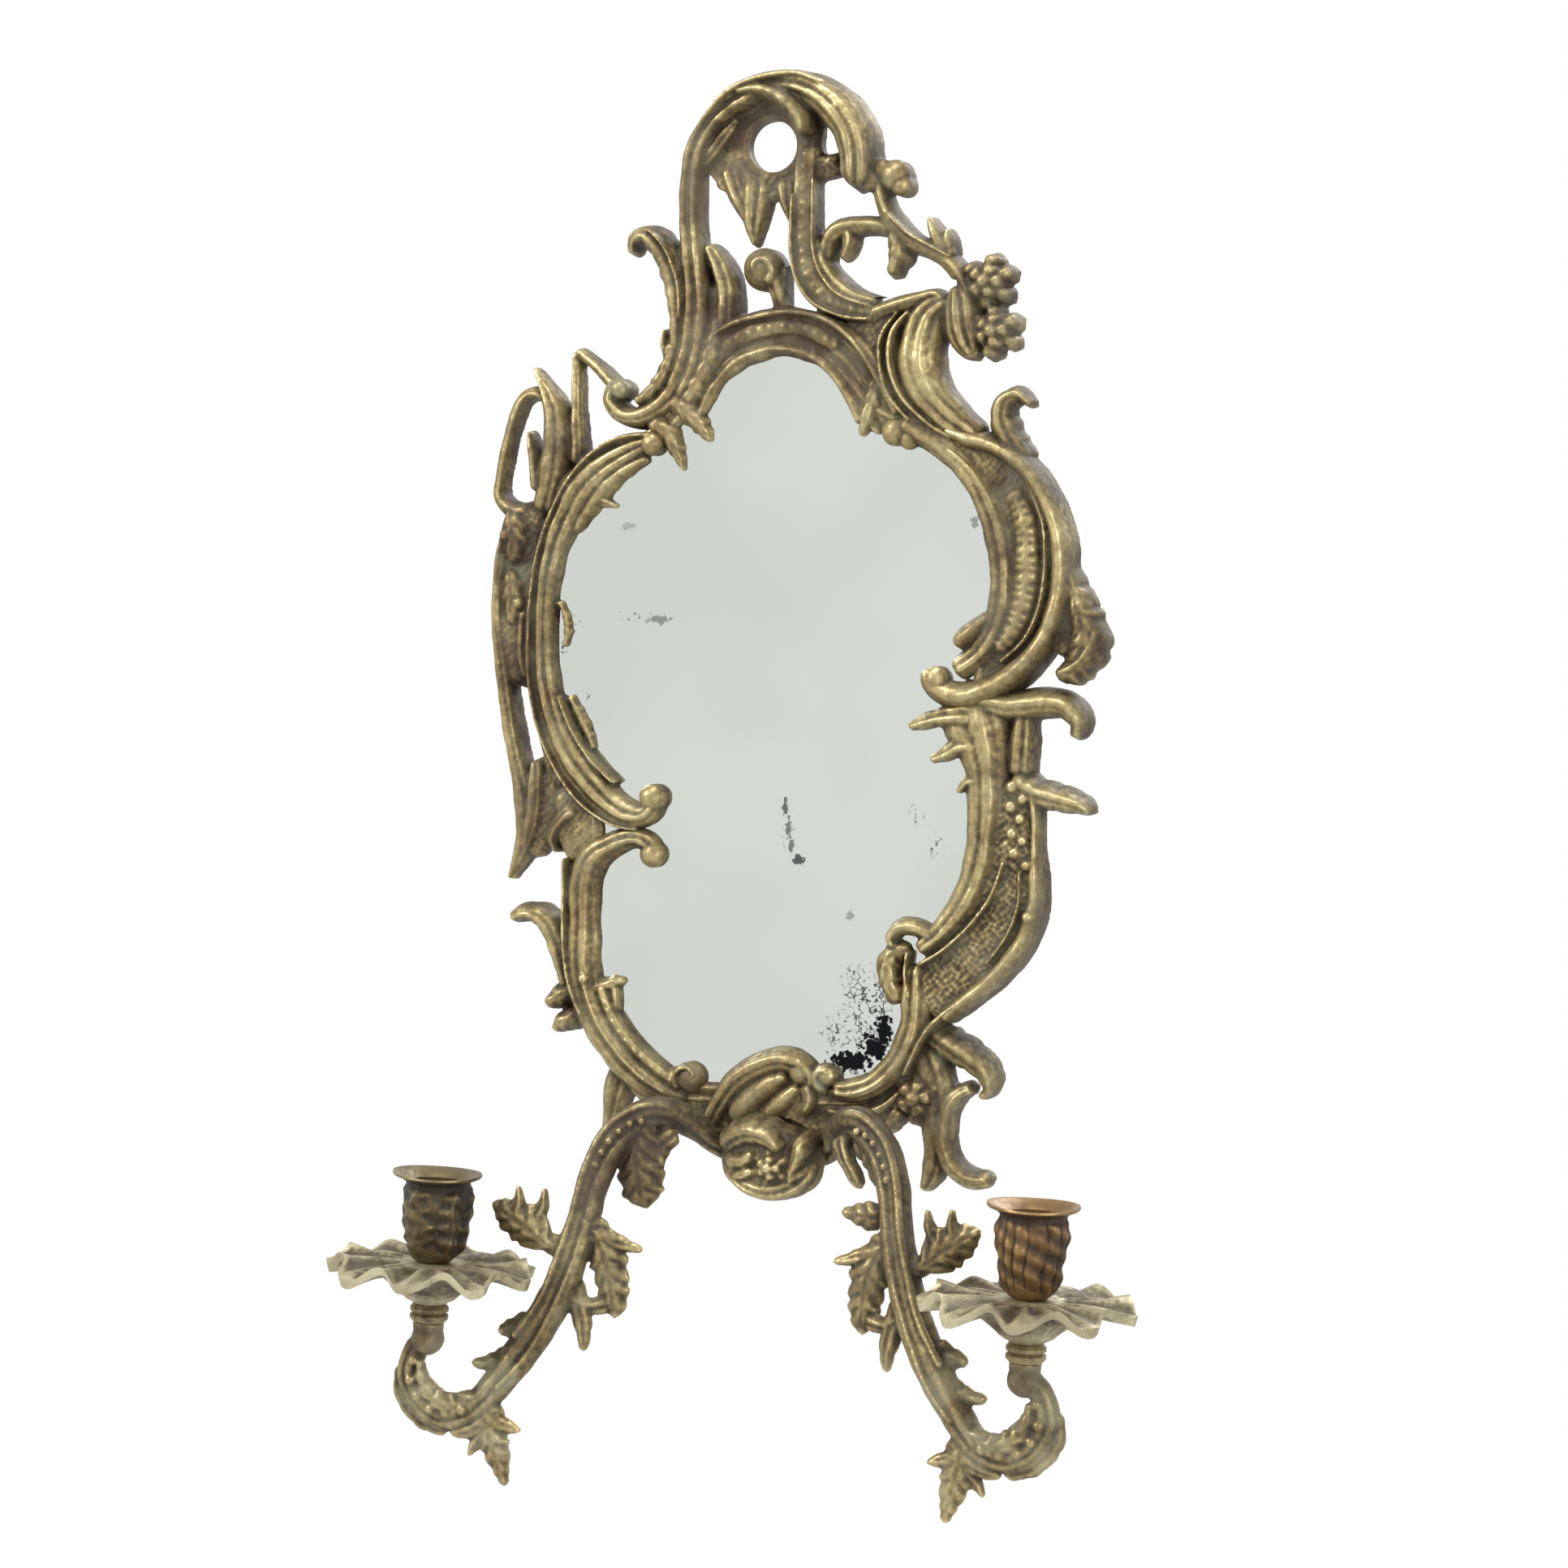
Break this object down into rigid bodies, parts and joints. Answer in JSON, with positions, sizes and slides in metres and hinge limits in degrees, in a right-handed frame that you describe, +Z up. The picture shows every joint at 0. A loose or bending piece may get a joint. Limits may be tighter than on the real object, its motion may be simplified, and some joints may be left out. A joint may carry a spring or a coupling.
{
  "type": "wall mirror",
  "caption": "Openwork cast wall mirror with a cartouche plate, a crest with a round hanging hole, and scrolled candle arms with drip pans and cups.",
  "frame": {"origin": "centre of the hanging hole in the crest, on the wall plane", "axes": "+Z up along the mirror's height, +X to the right as one looks at the mirror, and the front faces -Y with the wall at Y = 0"},
  "size_m": [0.3423, 0.1215, 0.5819],
  "materials": {
    "crest": "aged cast brass, bright on its high edges and dark in its hollows",
    "frame": "aged cast brass, bright on its high edges and dark in its hollows",
    "fixings": "dull dark brass",
    "mirror_plate": "old mirror glass with foxing",
    "silvering": "worn silvering with its backing paint",
    "packing_card": "brown pulp card, matte",
    "backboard": "thin old softwood board, unvarnished",
    "clips": "dull rolled brass",
    "hub": "aged cast brass",
    "arms": "aged cast brass with a pale grey-green patina towards the ends",
    "collars": "dark turned brass",
    "drip_pans": "cast brass with a chalky grey-green patina",
    "candle_cups": "dark copper-brown aged brass",
    "studs": "dull dark brass"
  },
  "bodies": {
    "mirror": {"crest": "crest", "frame": "frame", "crest_screws": "fixings", "mirror_glass": "mirror_plate", "silvering": "silvering", "packing_card": "packing_card", "backboard": "backboard", "board_clips": "clips", "clip_screws": "fixings", "hub": "hub", "hub_bolt": "fixings", "arm_screws": "fixings", "washers": "fixings", "left_arm": "arms", "right_arm": "arms", "left_collar": "collars", "right_collar": "collars", "left_cup_stud": "studs", "right_cup_stud": "studs"},
    "left_pan": {"left_drip_pan": "drip_pans"},
    "left_cup": {"left_candle_cup": "candle_cups"},
    "right_pan": {"right_drip_pan": "drip_pans"},
    "right_cup": {"right_candle_cup": "candle_cups"}
  },
  "joints": [
    {"name": "left_pan_turn", "type": "hinge", "parent": "mirror", "child": "left_pan", "pos_m": [-0.1255, -0.078, -0.486], "axis": [0.0698, 0, 0.9976], "continuous": true},
    {"name": "left_cup_turn", "type": "hinge", "parent": "mirror", "child": "left_cup", "pos_m": [-0.1255, -0.078, -0.486], "axis": [0.0698, 0, 0.9976], "continuous": true},
    {"name": "right_pan_turn", "type": "hinge", "parent": "mirror", "child": "right_pan", "pos_m": [0.1315, -0.078, -0.486], "axis": [0.0523, 0, 0.9986], "continuous": true},
    {"name": "right_cup_turn", "type": "hinge", "parent": "mirror", "child": "right_cup", "pos_m": [0.1315, -0.078, -0.486], "axis": [0.0523, 0, 0.9986], "continuous": true}
  ]
}
